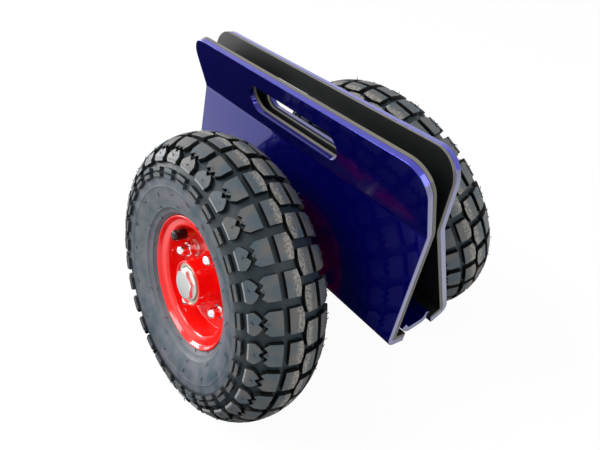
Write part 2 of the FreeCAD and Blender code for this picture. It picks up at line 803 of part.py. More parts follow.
def pivot_bolt():
    head_x = knuckle_end + SIDE_PLAY + PIVOT_WASHER_THICK
    shank = rod_x(PIVOT_DIA / 2, -head_x, head_x + PIVOT_NUT_HEIGHT + PIVOT_THREAD_PROUD)
    head = hex_prism(PIVOT_HEAD_FLATS, vec(-head_x, 0, 0), vec(-1, 0, 0), PIVOT_HEAD_HEIGHT)
    return shank.fuse(head).removeSplitter()


def pivot_nut():
    x0 = knuckle_end + SIDE_PLAY + PIVOT_WASHER_THICK
    nut = hex_prism(PIVOT_HEAD_FLATS, vec(x0, 0, 0), vec(1, 0, 0), PIVOT_NUT_HEIGHT)
    return nut.cut(rod_x(PIVOT_DIA / 2 + FIT, x0 - 1, x0 + PIVOT_NUT_HEIGHT + 1))


def pivot_washers():
    x0 = knuckle_end + SIDE_PLAY
    washers = []
    for a, b in ((x0, x0 + PIVOT_WASHER_THICK), (-x0 - PIVOT_WASHER_THICK, -x0)):
        ring = rod_x(PIVOT_WASHER_DIA / 2, a, b).cut(rod_x(PIVOT_DIA / 2 + FIT, a - 1, b + 1))
        washers.append(ring)
    return washers


def as_list(shape):
    return shape if isinstance(shape, list) else [shape]


def lift(shape):
    """Raises a piece drawn about the pivot to the pivot's height."""
    shape.translate(vec(0, 0, pivot_height))
    return shape


def place_jaw(shape, right):
    """Leans a piece from the jaw's frame into the rest pose; the right jaw is turned half round."""
    moved = shape.copy()
    moved.rotate(vec(0, 0, 0), vec(1, 0, 0), JAW_TILT)
    if right:
        moved.rotate(vec(0, 0, 0), vec(0, 0, 1), 180)
    return lift(moved)


def write(name, shapes):
    body = shapes[0] if len(shapes) == 1 else Part.makeCompound(shapes)
    body.exportStep(os.path.join("parts", name + ".step"))
    print(name, len(shapes), "solid(s)", "valid" if all(s.isValid() for s in shapes) else "NOT VALID")


FLOOR_NODES = {
    "floor_tray": floor_tray,
    "floor_lug": floor_lug,
    "pivot_bolt": pivot_bolt,
    "pivot_nut": pivot_nut,
    "pivot_washers": pivot_washers,
}

JAW_NODES = {
    "plate": jaw_plate,
    "lining": jaw_lining,
    "axle_arm": axle_arm,
    "hinge_ears": hinge_ears,
    "axle_block": axle_block,
    "gusset": gusset,
    "axle_bolt": axle_bolt,
    "axle_washer": axle_washer,
    "axle_spacer": axle_spacer,
    "bearing_spacer": bearing_spacer,
    "bearing_inner_rings": bearing_inner_rings,
    "bearing_outer_rings": bearing_outer_rings,
    "bearing_balls": bearing_balls,
    "bearing_seals": bearing_seals,
    "hub_sleeve": hub_sleeve,
    "rim_outer": rim_outer,
    "rim_inner": rim_inner,
    "rim_bolts": rim_bolts,
    "rim_washers": rim_washers,
    "rim_lock_washers": rim_lock_washers,
    "rim_nuts": rim_nuts,
    "tyre": tyre,
    "inner_tube": inner_tube,
    "valve_stem": valve_stem,
    "valve_cap": valve_cap,
}


def main():
    os.makedirs("parts", exist_ok=True)
    for name, make in FLOOR_NODES.items():
        write(name, [lift(s.copy()) for s in as_list(make())])
    for name, make in JAW_NODES.items():
        shapes = as_list(make())
        for side in ("right", "left"):
            write(side + "_" + name, [place_jaw(s, side == "right") for s in shapes])
    print("pivot height", round(pivot_height, 3), "wheel y", round(wheel_y, 3))


main()
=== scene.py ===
import json
import math

import bpy
import numpy as np
from mathutils import Matrix, Vector

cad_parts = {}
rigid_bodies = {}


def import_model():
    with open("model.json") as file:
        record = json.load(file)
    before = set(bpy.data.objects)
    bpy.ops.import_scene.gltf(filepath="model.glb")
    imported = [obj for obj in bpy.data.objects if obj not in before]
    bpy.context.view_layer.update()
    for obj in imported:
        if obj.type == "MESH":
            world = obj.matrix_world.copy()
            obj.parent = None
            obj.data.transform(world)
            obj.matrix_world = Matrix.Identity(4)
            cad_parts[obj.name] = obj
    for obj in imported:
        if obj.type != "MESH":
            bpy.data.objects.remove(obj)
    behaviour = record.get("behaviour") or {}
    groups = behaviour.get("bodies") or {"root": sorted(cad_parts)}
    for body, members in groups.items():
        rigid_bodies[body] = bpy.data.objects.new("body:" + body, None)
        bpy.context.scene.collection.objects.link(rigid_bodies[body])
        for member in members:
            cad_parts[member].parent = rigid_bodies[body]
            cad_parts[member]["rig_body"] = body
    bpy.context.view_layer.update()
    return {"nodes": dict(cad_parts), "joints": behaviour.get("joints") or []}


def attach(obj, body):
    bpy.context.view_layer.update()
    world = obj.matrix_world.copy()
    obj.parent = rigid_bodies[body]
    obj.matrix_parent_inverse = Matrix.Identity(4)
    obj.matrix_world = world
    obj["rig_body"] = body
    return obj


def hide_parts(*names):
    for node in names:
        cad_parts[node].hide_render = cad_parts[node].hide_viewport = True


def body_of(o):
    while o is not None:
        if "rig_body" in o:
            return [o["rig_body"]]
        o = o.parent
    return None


MM = 0.001
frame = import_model()
nodes = frame["nodes"]
pivots = {joint["name"]: joint for joint in frame["joints"]}

# Tyre, in millimetres
TREAD_RADIUS = 130.0
TYRE_HALF_WIDTH = 41.0
WIDEST_RADIUS = 96.0
TREAD_THICK = 9.0
SIDEWALL_THICK = 5.0
SIDEWALL_FOOT = (25.9, 61.35)
BEAD = [(25.0, 60.9), (20.9, 58.55), (19.9, 54.0), (17.0, 51.0), (11.2, 51.0), (13.7, 56.0)]
PITCHES = 30
PITCH_ANGLE = 2 * math.pi / PITCHES
COLUMNS = 8
EIGHTH = 2 * math.pi * TREAD_RADIUS / PITCHES / COLUMNS
TREAD_PHASE = math.radians(2.5)
GROOVE_DEPTH = 4.5
RIB_HALF = 8.2

# A place on the tyre is its distance from the centre line, measured down the outline. These are the rows of
# points across half a pitch of the tread. Each has its distance, or its distances at 0, 1, 2, 3 and 4 eighths
# of a pitch from the block's middle, and what starts at the row.
TREAD_ROWS = [
    (0.0, "groove"),
    ((0.6, 0.6, 1.4, 2.2, 2.2), "block"),
    (8.5, "block"),
    (13.2, "groove"),
    (17.6, "block"),
    (22.5, "block"),
    ((32.8, 29.4, 32.4, 27.9, 27.9), "groove"),
    ((34.4, 31.2, 33.8, 33.4, 33.4), "groove"),
    ((36.0, 33.0, 35.2, 38.8, 38.8), "block"),
    (41.2, "block"),
    (43.7, "block"),
    (45.8, "groove"),
    (50.6, "rib"),
    (52.5, "rib"),
    (54.4, "groove"),
    (56.0, "rib"),
    (59.6, "groove"),
]

# How blocks and ribs rise, as (inset, rise): a nearly upright wall, then a rounded top edge
TREAD_WALLS = {
    "block": ((0.15, GROOVE_DEPTH - 0.35), (0.25, 0.35)),
    "rib": ((0.15, GROOVE_DEPTH - 0.5), (0.25, 0.5)),
}

# What changes down the outline, as distances and the values there: half the length of a block or rib, the
# depth of the groove floor and of the sidewall next to the ribs, and the fall of the bevel along the shoulder
HALF_LENGTH = ([41.2, 45.8, 59.6, 60.0], [3 * EIGHTH, RIB_HALF, RIB_HALF, 3 * EIGHTH])
FLOOR_DEPTH = ([0, 40, 45, 50.6, 56, 59.6, 68, 86], [GROOVE_DEPTH, GROOVE_DEPTH, 4.3, 3.9, 3.3, 2.9, 2.2, 0])
SHOULDER_BEVEL = ([43.7, 45.4, 45.8, 46.0], [0, 0.9, 0.9, 0])

# Rings moulded on the sidewall, as distance, half width and height, and the sidewall's rows of points
SIDEWALL_START = 60.0
MOULDED_RINGS = [(68.0, 0.8, 0.45), (88.0, 0.8, 0.45), (93.5, 1.0, 0.6)]
RING_ROWS = [place + half * k for place, half, height in MOULDED_RINGS for k in (-1, 0, 1)]
SIDE_ROWS = sorted([62.0, 66.0, 72.0, 77.0, 82.0] + RING_ROWS)

# Vent hairs, with each circle of them as its distance and how many stand round it. A hair has the colour that
# the tread has at the height and distance given last, which takes in more than half of the block walls' near
# black painted shade.
HAIR_PLACES = [(39.8, 30), (52.5, 30), (73.0, 17), (86.0, 11), (95.5, 13), (30.0, 30)]
HAIR_LENGTH = 3.2
HAIR_FOOT = 0.42
HAIR_TIP = 0.2
HAIR_BEND = 0.9
HAIR_LEAN = 0.35
HAIR_SUNK = 0.1
HAIR_STRETCH = 1.5
HAIR_ROOM = 0.8
HAIR_SCATTER = 12.9898
HAIR_COLOUR_PLACE = {"raised": GROOVE_DEPTH - 0.22, "across": 20.0}

# Where the tyre's colours change, as the two distances and the share of the colour at each
COLOUR_BANDS = {
    "crown": (5.0, 17.0, 1.0, 0.0),
    # The two bevel bands lay a pale painted highlight along the shoulder bevel
    "bevel": (43.5, 44.2, 0.0, 0.85),
    "bevel_foot": (45.9, 46.2, 1.0, 0.0),
    "ribs": (49.0, 54.0, 0.0, 0.65),
    "sidewall": (SIDEWALL_START, 62.0, 0.0, 1.0),
    # A paler painted sheen on the sidewall beside the rim
    "beside_rim": (72.0, 90.0, 0.0, 0.32),
}

# Rims, in millimetres and degrees
RIM_PATH = [(27, 19.5), (12, 19.5), (1, 23), (1, 49.8), (21, 49.8), (22, 57.8), (26.5, 60.3)]
RIM_BENDS = [9, 3, 3, 3, 3]
RIM_SHEET = 2
RIM_LIP = 0.7
RIM_STEPS = 128
BEND_STEPS = 6
BOLT_HOLE = 4.3
BOLT_PLACES = [(33.5, 22.6 + 90 * k) for k in range(4)]
DRILL_LENGTH = 10
VALVE_ANGLE = math.radians(49)
VALVE_PLACE = (48.5, 6.6)
VALVE_HOLE = 4.25

# Plates and linings, in metres: where the flare starts, how it leans from upright, and where the slot ends
FLARE_START = 0.18
FLARE_LEAN = math.tan(math.radians(10.2))
SLOT_END = 0.12
SLOT_TOP = 0.275

# Marks on a sheet's faces, which choose its painted highlight colours: plain skin is 0, a cut end END_MARK
# and the cut along the top TOP_MARK
END_MARK = 0.5
TOP_MARK = 1.0
FACING = 0.5

# Gaps that are closed, in millimetres, and the angles between faces that are flat or sharp, in degrees
MERGE_GAP = 0.001
SEAM_GAP = 0.01
FLAT_ANGLE = 0.5
SHARP_ANGLE = 40
SMOOTH_ANGLE = 35

# Strip of the floor painted dark in reflections only, as painted shade under and behind the dolly, in metres:
# half its width and its near end, each as where it starts to fade and where it has faded
STRIP_HALF_WIDTH = (0.26, 0.3)
STRIP_END = (0.18, 0.24)

# The photograph's size and optical centre in pixels, and the camera that took it, in metres and degrees
PHOTO_SIZE = (600, 450)
PHOTO_CENTRE = (281.4, 229.7)
FOCAL_PIXELS = 556.635
SENSOR_WIDTH = 36
CAMERA_PLACE = (0.33370, -0.25214, 0.47804)
CAMERA_TURN = (55.764, 39.557, -1.909)


def select_only(*objects):
    bpy.ops.object.select_all(action="DESELECT")
    for one in objects:
        one.select_set(True)
    bpy.context.view_layer.objects.active = objects[0]


def copied(piece):
    """A copy with its own mesh."""
    own = piece.copy()
    own.data = piece.data.copy()
    bpy.context.collection.objects.link(own)
    return own


def apply_modifiers(piece):
    select_only(piece)
    for modifier in list(piece.modifiers):
        bpy.ops.object.modifier_apply(modifier=modifier.name)


def close_seams(piece):
    select_only(piece)
    bpy.ops.object.mode_set(mode="EDIT")
    bpy.ops.mesh.select_all(action="SELECT")
    bpy.ops.mesh.remove_doubles(threshold=SEAM_GAP * MM)
    bpy.ops.mesh.normals_make_consistent(inside=False)
    bpy.ops.object.mode_set(mode="OBJECT")


def smooth(piece, degrees):
    select_only(piece)
    bpy.ops.object.shade_smooth_by_angle(angle=math.radians(degrees))


# Tyre


def arc_points(start, end, centre, count):
    """Points on the circle round centre from start to end, without start."""
    first = math.atan2(start[1] - centre[1], start[0] - centre[0])
    last = math.atan2(end[1] - centre[1], end[0] - centre[0])
    turn = (last - first + math.pi) % (2 * math.pi) - math.pi
    radius = math.dist(start, centre)
    angles = [first + turn * k / count for k in range(1, count + 1)]
    return [(centre[0] + radius * math.cos(a), centre[1] + radius * math.sin(a)) for a in angles]


def crown_curve(side_wall, crown_wall, count):
    """Quarter oval from the crown to the widest point, as (across, radius)."""
    half = TYRE_HALF_WIDTH - side_wall
    rise = TREAD_RADIUS - WIDEST_RADIUS - crown_wall
    angles = [0.5 * math.pi * k / count for k in range(count + 1)]
    return [(half * math.sin(a), WIDEST_RADIUS + rise * math.cos(a)) for a in angles]


def lower_wall(half, foot, count):
    """Arc from the widest point down to the foot, upright where it starts."""
    drop = WIDEST_RADIUS - foot[1]
    inset = half - foot[0]
    radius = (drop ** 2 + inset ** 2) / (2 * inset)
    return arc_points((half, WIDEST_RADIUS), foot, (half - radius, WIDEST_RADIUS), count)


def tyre_outline():
    """Half the tyre's section, from the crown to the bead and back inside, the length along it and where the
    sidewall ends."""
    outside = crown_curve(side_wall=0, crown_wall=0, count=90)
    outside += lower_wall(TYRE_HALF_WIDTH, SIDEWALL_FOOT, count=50)
    inside = crown_curve(SIDEWALL_THICK, TREAD_THICK, count=12)
    inside += lower_wall(TYRE_HALF_WIDTH - SIDEWALL_THICK, BEAD[-1], count=8)
    outline = np.array(outside + BEAD + inside[-2::-1])
    length = np.concatenate([[0.0], np.cumsum(np.hypot(*np.diff(outline, axis=0).T))])
    return outline, length, len(outside) - 1


def pitch_rows(length, foot):
    """The distances of each row of points: on the tread, down the sidewall, round the bead and up inside."""
    inside = foot + len(BEAD) + 1
    rows = [row for row, start in TREAD_ROWS] + SIDE_ROWS
    rows += [*length[foot:inside], *length[inside:-1:3], length[-1]]
    return [tuple(np.broadcast_to(row, COLUMNS // 2 + 1)) for row in rows]


def flat_pitch(rows):
    """One pitch of half the tyre as a flat grid, eight columns of faces long round the tyre."""
    half = COLUMNS // 2
    bpy.ops.object.select_all(action="DESELECT")
    bpy.ops.mesh.primitive_grid_add(x_subdivisions=COLUMNS, y_subdivisions=len(rows) - 1, size=2)
    pitch = bpy.context.object
    for point in pitch.data.vertices:
        column = round((point.co.x + 1) * half) - half
        row = rows[round((point.co.y + 1) / 2 * (len(rows) - 1))]
        end = float(np.interp(row[0], *HALF_LENGTH))
        reach = math.copysign(end, column) if abs(column) == half - 1 else EIGHTH * column
        point.co = (reach, row[abs(column)], 0)
    return pitch


def raise_tread(pitch):
    """Raises the blocks and ribs, leaving the first and last columns of faces as a gap between pitches."""
    mesh = pitch.data
    starts = [start for row, start in TREAD_ROWS]
    kinds = sorted(set(starts))
    for face in mesh.polygons:
        row, column = divmod(face.index, COLUMNS)
        kind = starts[row] if row < len(starts) and 1 <= column <= COLUMNS - 2 else "groove"
        face.material_index = kinds.index(kind)
    for kind, walls in TREAD_WALLS.items():
        select_only(pitch)
        bpy.ops.object.mode_set(mode="EDIT")
        bpy.ops.mesh.select_mode(type="FACE")
        bpy.ops.mesh.select_all(action="DESELECT")
        bpy.ops.object.mode_set(mode="OBJECT")
        for face in mesh.polygons:
            face.select = face.material_index == kinds.index(kind)
        bpy.ops.object.mode_set(mode="EDIT")
        for inset, rise in walls:
            bpy.ops.mesh.inset(thickness=inset, depth=rise)
        bpy.ops.object.mode_set(mode="OBJECT")
    for face in mesh.polygons:
        face.material_index = 0


def floor_depth(distance):
    return np.interp(distance, *FLOOR_DEPTH)


def ring_height(distance):
    return sum(
        height * np.clip(1 - abs(distance - place) / half, 0, 1) for place, half, height in MOULDED_RINGS
    )


def bend_round(mesh, outline, length):
    """Bends the flat pitch over the tyre's section and round its axle, the y axis."""
    flat = np.zeros(len(mesh.vertices) * 3)
    mesh.vertices.foreach_get("co", flat)
    x, distance, height = flat.reshape(-1, 3).T
    slope = np.gradient(outline, length, axis=0)
    slope[0] = (1, 0)
    slope[-1] = (-1, 0)
    across, radius, run, climb = [np.interp(distance, length, values) for values in (*outline.T, *slope.T)]
    size = np.hypot(run, climb)
    share = height / GROOVE_DEPTH
    rise = floor_depth(distance) * (share - 1) + ring_height(distance)
    rise -= np.interp(distance, *SHOULDER_BEVEL) * share
    across = across - climb / size * rise
    radius = radius + run / size * rise
    turn = x / (COLUMNS * EIGHTH) * PITCH_ANGLE
    place = np.stack([radius * np.cos(turn), across, radius * np.sin(turn)], axis=1) * MM
    for name, values in (("across", distance), ("raised", height)):
        attribute = mesh.attributes.new(name, "FLOAT", "POINT")
        attribute.data.foreach_set("value", values.astype(np.float32))
    mesh.vertices.foreach_set("co", place.ravel())
    mesh.update()


def repeat_round(pitch):
    """Repeats the bent pitch all round the axle."""
    turn = bpy.data.objects.new("pitch_turn", None)
    bpy.context.collection.objects.link(turn)
    turn.rotation_euler = (0, PITCH_ANGLE, 0)
    ring = pitch.modifiers.new("ring", "ARRAY")
    ring.use_relative_offset = False
    ring.use_object_offset = True
    ring.offset_object = turn
    ring.count = PITCHES
    bpy.context.view_layer.update()
    apply_modifiers(pitch)
    bpy.data.objects.remove(turn)


def vent_hair():
    """One short rubber hair, bent over, with its foot at the origin."""
    bpy.ops.object.select_all(action="DESELECT")
    bpy.ops.mesh.primitive_cone_add(
        vertices=5, radius1=HAIR_FOOT * MM, radius2=HAIR_TIP * MM, depth=HAIR_LENGTH * MM,
        enter_editmode=True,
    )
    bpy.ops.mesh.select_all(action="SELECT")
    bpy.ops.mesh.subdivide(number_cuts=2)
    bpy.ops.object.mode_set(mode="OBJECT")
    hair = bpy.context.object
    for point in hair.data.vertices:
        reach = point.co.z / (HAIR_LENGTH * MM) + 0.5
        point.co.x += HAIR_BEND * MM * reach ** 2
        point.co.z += 0.5 * HAIR_LENGTH * MM
    for name, value in HAIR_COLOUR_PLACE.items():
        attribute = hair.data.attributes.new(name, "FLOAT", "POINT")
        attribute.data.foreach_set("value", [value] * len(hair.data.vertices))
    smooth(hair, 60)
    return hair


def vent_hairs(outline, length):
    """The hairs that the mould's vents leave on blocks, ribs and sidewall, each leaning its own way."""
    hair = vent_hair()
    hairs = []
    places = [(distance, step, count) for distance, count in HAIR_PLACES for step in range(count)]
    for number, (distance, step, count) in enumerate(places):
        on_wall = distance > SIDEWALL_START
        chance = [math.sin(HAIR_SCATTER * (number + 1) * k) for k in (1, 2, 3)]
        turn = 2 * math.pi * (step + (0.5 * chance[0] if on_wall else 0)) / count
        sunk = HAIR_SUNK + (float(floor_depth(distance)) if on_wall else 0)
        across, radius, across_next, radius_next = [
            float(np.interp(at, length, values)) for at in (distance, distance + 1) for values in outline.T
        ]
        normal = Vector((radius - radius_next, across_next - across)).normalized()
        for side in (1, -1):
            angle = turn + (PITCH_ANGLE / 2 if side < 0 else 0)
            out = Vector((math.cos(angle), 0, math.sin(angle)))
            square = normal.x * Vector((0, side, 0)) + normal.y * out
            along = Vector((-math.sin(angle), 0, math.cos(angle)))
            lean = (square * HAIR_LEAN + along * chance[1] + square.cross(along) * chance[2]).normalized()
            place = (out * radius + Vector((0, side * across, 0)) - square * sunk) * MM
            own = copied(hair)
            if on_wall:
                own.data.transform(Matrix.Diagonal((1.0, 1.0, HAIR_STRETCH, 1.0)))
            own.data.transform(Matrix.Translation(place) @ lean.to_track_quat("Z", "X").to_matrix().to_4x4())
            widest = max(side * point.co.y for point in own.data.vertices)
            proud = max(widest - (TYRE_HALF_WIDTH - HAIR_ROOM) * MM, 0)
            own.data.transform(Matrix.Translation((0, -side * proud, 0)))
            hairs.append(own)
    bpy.data.objects.remove(hair)
    return hairs


def build_tyre():
    """Both halves of the tread are made of one pitch: a flat grid, its blocks raised, bent and repeated."""
    outline, length, foot = tyre_outline()
    tyre = flat_pitch(pitch_rows(length, foot))
    tyre.name = "tyre"
    raise_tread(tyre)
    bend_round(tyre.data, outline, length)
    repeat_round(tyre)
    other = copied(tyre)
    other.data.transform(Matrix.Rotation(PITCH_ANGLE / 2, 4, "Y") @ Matrix.Scale(-1, 4, (0, 1, 0)))
    select_only(tyre, other)
    bpy.ops.object.join()
    close_seams(tyre)
    smooth(tyre, 32)
    select_only(tyre, *vent_hairs(outline, length))
    bpy.ops.object.join()
    tyre.data.transform(Matrix.Rotation(-TREAD_PHASE, 4, "Y"))
    return tyre


# Rims


def rounded_path(points, radii):
    """Points of a bent path whose inner corners have the given radii."""
    path = [points[0]]
    for before, corner, after, radius in zip(points, points[1:], points[2:], radii):
        corner = Vector(corner)
        back = (Vector(before) - corner).normalized()
        ahead = (Vector(after) - corner).normalized()
        half = back.angle(ahead) / 2
        reach = radius / math.tan(half)
        centre = corner + (back + ahead).normalized() * (radius / math.sin(half))
        path.append(tuple(corner + back * reach))
        path += arc_points(path[-1], tuple(corner + ahead * reach), tuple(centre), BEND_STEPS)
    return path + [points[-1]]


def spun(name, path):
    """A path of (across, radius) points in millimetres, drawn out point by point and spun round the axle."""
    bpy.ops.object.select_all(action="DESELECT")
    bpy.ops.mesh.primitive_plane_add(size=MM, enter_editmode=True, location=(0, 0, 0))
    piece = bpy.context.object
    piece.name = name
    bpy.ops.mesh.select_mode(type="VERT")
    bpy.ops.mesh.merge(type="CENTER")
    bpy.ops.transform.translate(value=(0, path[0][0] * MM, path[0][1] * MM))
    for a, b in zip(path, path[1:]):
        bpy.ops.mesh.extrude_region_move(
            TRANSFORM_OT_translate={"value": (0, (b[0] - a[0]) * MM, (b[1] - a[1]) * MM)}
        )
    bpy.ops.mesh.select_all(action="SELECT")
    bpy.ops.mesh.spin(steps=RIM_STEPS, angle=2 * math.pi, center=(0, 0, 0), axis=(0, 1, 0))
    bpy.ops.object.mode_set(mode="OBJECT")
    close_seams(piece)
    return piece


def drill(piece, place, radius, turn):
    """Drills a hole through the sheet, with its middle, radius and turn given in metres and radians."""
    bpy.ops.object.select_all(action="DESELECT")
    bpy.ops.mesh.primitive_cylinder_add(
        vertices=32, radius=radius, depth=DRILL_LENGTH * MM, location=place, rotation=turn
    )
    bit = bpy.context.object
    hole = piece.modifiers.new("hole", "BOOLEAN")
    hole.operation = "DIFFERENCE"
    hole.object = bit
    apply_modifiers(piece)
    bpy.data.objects.remove(bit)


def rim_half():
    """A rim half pressed from sheet, with its lip rounded over and its four bolt holes."""
    rim = spun("rim_half", rounded_path(RIM_PATH, RIM_BENDS))
    sheet = rim.modifiers.new("sheet", "SOLIDIFY")
    sheet.thickness = RIM_SHEET * MM
    sheet.offset = 0
    sheet.use_even_offset = True
    lip = rim.modifiers.new("lip", "BEVEL")
    lip.width = RIM_LIP * MM
    lip.segments = 3
    lip.limit_method = "ANGLE"
    lip.angle_limit = math.radians(60)
    apply_modifiers(rim)
    for radius, degrees in BOLT_PLACES:
        turn = math.radians(degrees)
        place = Vector((radius * math.cos(turn), 0, radius * math.sin(turn))) * MM
        drill(rim, place, BOLT_HOLE * MM, (math.pi / 2, 0, 0))
    smooth(rim, SMOOTH_ANGLE)
    return rim


def mirrored_rim(rim):
    inner = copied(rim)
    inner.data.transform(Matrix.Scale(-1, 4, (0, 1, 0)))
    close_seams(inner)
    return inner


def drill_valve_hole(rim):
    radius, across = VALVE_PLACE
    place = Vector((radius * math.cos(VALVE_ANGLE), across, radius * math.sin(VALVE_ANGLE))) * MM
    drill(rim, place, VALVE_HOLE * MM, (0, math.pi / 2 - VALVE_ANGLE, 0))
    smooth(rim, SMOOTH_ANGLE)


# Materials


def linear(hex_colour):
    """Linear RGBA of an sRGB hex colour."""
    parts = [int(hex_colour[k:k + 2], 16) / 255 for k in (1, 3, 5)]
    return tuple(c / 12.92 if c <= 0.04045 else ((c + 0.055) / 1.055) ** 2.4 for c in parts) + (1.0,)


def add(tree, kind, settings=None, inputs=None, links=None):
    """Adds a node with its settings, input values and links from (node, output)."""
    node = tree.nodes.new(kind)
    for name, value in (settings or {}).items():
        setattr(node, name, value)
    for name, value in (inputs or {}).items():
        node.inputs[name].default_value = value
    for name, (source, output) in (links or {}).items():
        tree.links.new(source.outputs[output], node.inputs[name])
    return node


def finish(name, **inputs):
    """A new surface with its first values, as (material, tree, shader)."""
    material = bpy.data.materials.new(name)
    material.use_nodes = True
    tree = material.node_tree
    shader = tree.nodes["Principled BSDF"]
    for socket, value in inputs.items():
        shader.inputs[socket.replace("_", " ")].default_value = value
    return material, tree, shader


def grained(tree, shader, size_mm, height_mm, strength=1.0, **noise):
    """Raises a grain of the given size over the surface, and gives the grain back to colour with."""
    place = add(tree, "ShaderNodeTexCoord")
    grain = add(
        tree, "ShaderNodeTexNoise", inputs={"Scale": 1 / (size_mm * MM), **noise},
        links={"Vector": (place, "Object")},
    )
    bump = add(
        tree, "ShaderNodeBump", inputs={"Distance": height_mm * MM, "Strength": strength},
        links={"Height": (grain, "Fac")},
    )
    tree.links.new(bump.outputs["Normal"], shader.inputs["Normal"])
    return grain


def cut_edges(tree, shader, colour, top_colour, end_colour):
    """Painted highlight on a sheet's cut edges, standing in for the light they catch: one paler colour along
    its top edge, another up its ends.
    """
    edge = add(tree, "ShaderNodeAttribute", {"attribute_name": "cut_edge"})
    ramp = add(tree, "ShaderNodeValToRGB", links={"Fac": (edge, "Fac")})
    first, last = ramp.color_ramp.elements
    first.color, last.color = linear(colour), linear(top_colour)
    ramp.color_ramp.elements.new(END_MARK).color = linear(end_colour)
    tree.links.new(ramp.outputs["Color"], shader.inputs["Base Color"])


def painted_steel(name, colour, roughness, peel_mm, flake=0.0, edge_highlight_colours=None):
    """Paint baked on steel: a deep even colour under a hard clear gloss, whose mirror image wavers on orange
    peel of its real size. Metal flake, where it has any, brightens the colour toward the light. Given edge
    colours, a sheet of it gets a painted highlight on its cut edges."""
    material, tree, shader = finish(
        name, Base_Color=linear(colour), Metallic=flake, Roughness=roughness,
        Specular_IOR_Level=0.15, Coat_Weight=0.9, Coat_Roughness=0.05, Coat_IOR=1.5,
    )
    grained(tree, shader, peel_mm, 0.03, 0.5, Detail=1.0)
    if edge_highlight_colours:
        cut_edges(tree, shader, colour, *edge_highlight_colours)
    return material


def moulded(name, colour, roughness, grain_mm, grain_height_mm, edge_highlight_colours=None, shine=0.5):
    """Moulded rubber or plastic: a dull even colour and a soft, slightly broken highlight. The mould's own
    grain is about 0.2 mm and too fine to show, so it is drawn coarser. Given edge colours, a sheet of it gets
    a painted highlight on its cut edges."""
    material, tree, shader = finish(
        name, Base_Color=linear(colour), Roughness=roughness, Specular_IOR_Level=shine
    )
    grained(tree, shader, grain_mm, grain_height_mm, Detail=4.0)
    if edge_highlight_colours:
        cut_edges(tree, shader, colour, *edge_highlight_colours)
    return material


def bright_metal(name, colour, roughness, cloud_mm):
    """Plated, ground or turned metal: reflections in the metal's own tint, clearer and duller in turns. The
    real marks are about 0.3 mm and too fine to show, so they are drawn coarser."""
    material, tree, shader = finish(name, Base_Color=linear(colour), Metallic=1.0)
    place = add(tree, "ShaderNodeTexCoord")
    cloud = add(
        tree, "ShaderNodeTexNoise", inputs={"Scale": 1 / (cloud_mm * MM), "Detail": 3.0},
        links={"Vector": (place, "Object")},
    )
    spread = add(
        tree, "ShaderNodeMapRange", inputs={"To Min": roughness * 0.7, "To Max": roughness * 1.3},
        links={"Value": (cloud, "Fac")},
    )
    tree.links.new(spread.outputs["Result"], shader.inputs["Roughness"])
    return material


TYRE_GRIT_MM = 2.0
TYRE_CLOUD_MM = 14.0
# Colours of the tyre. The groove floor, block wall and rib wall colours are darkened as painted shade, least
# on the rib walls. The bevel colour is a painted highlight on the shoulder bevel, and the paler sidewall
# colour beside the rim is a painted sheen.
TYRE_SHADES = {
    "cool top": "#45525A", "warm top": "#5E5C5A", "worn crown": "#98938A", "bevel": "#94969A",
    "groove floor": "#222D33", "block wall": "#030405", "rib wall": "#3A3E43",
    "cool sidewall": "#394A53", "warm sidewall": "#61626A", "sidewall painted sheen": "#838990",
}


